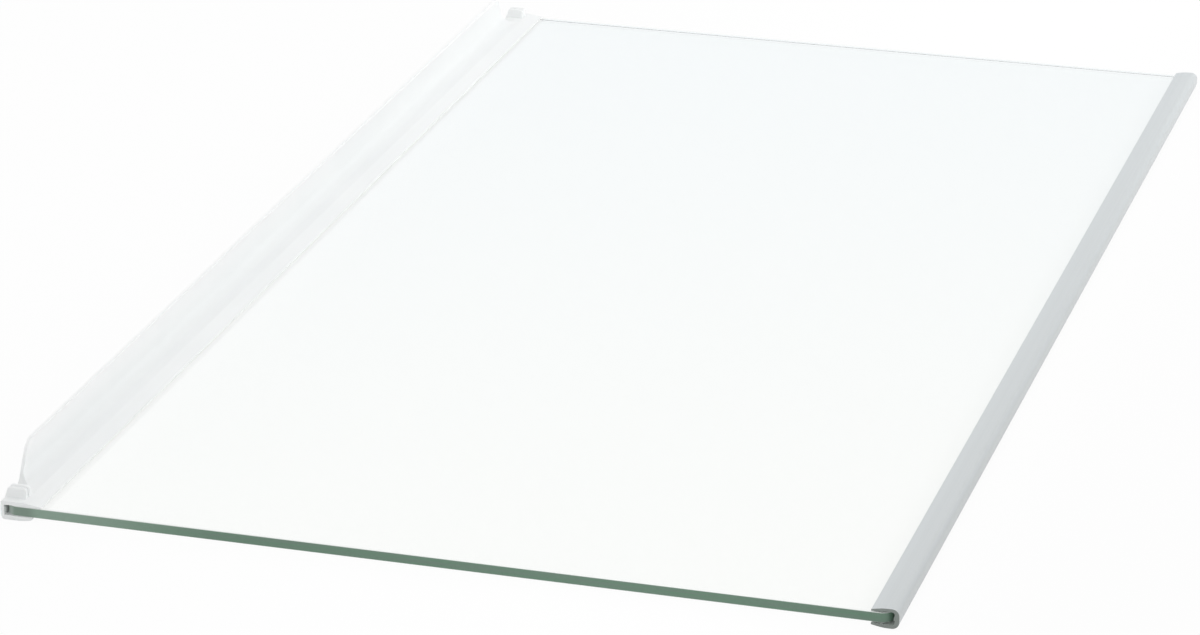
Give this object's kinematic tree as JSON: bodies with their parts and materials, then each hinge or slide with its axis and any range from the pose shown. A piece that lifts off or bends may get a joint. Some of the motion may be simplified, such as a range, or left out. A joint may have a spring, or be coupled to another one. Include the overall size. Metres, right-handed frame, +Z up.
{
  "type": "fridge glass shelf",
  "caption": "Clear glass fridge shelf with a grey edge strip along its front and a white rear rail that carries a raised wall and end lugs.",
  "frame": {"origin": "on the surface that the shelf lies on, under the middle of its outline", "axes": "+X along the shelf, +Y from the front trim towards the rear rail, +Z up"},
  "size_m": [0.52, 0.2796, 0.0181],
  "materials": {
    "clear_glass": "clear float glass, ground edges",
    "grey_plastic": "satin, extruded",
    "white_plastic": "semi-gloss, moulded"
  },
  "bodies": {
    "root": {"glass_pane": "clear_glass", "front_trim": "grey_plastic", "rear_trim": "white_plastic"}
  },
  "joints": []
}
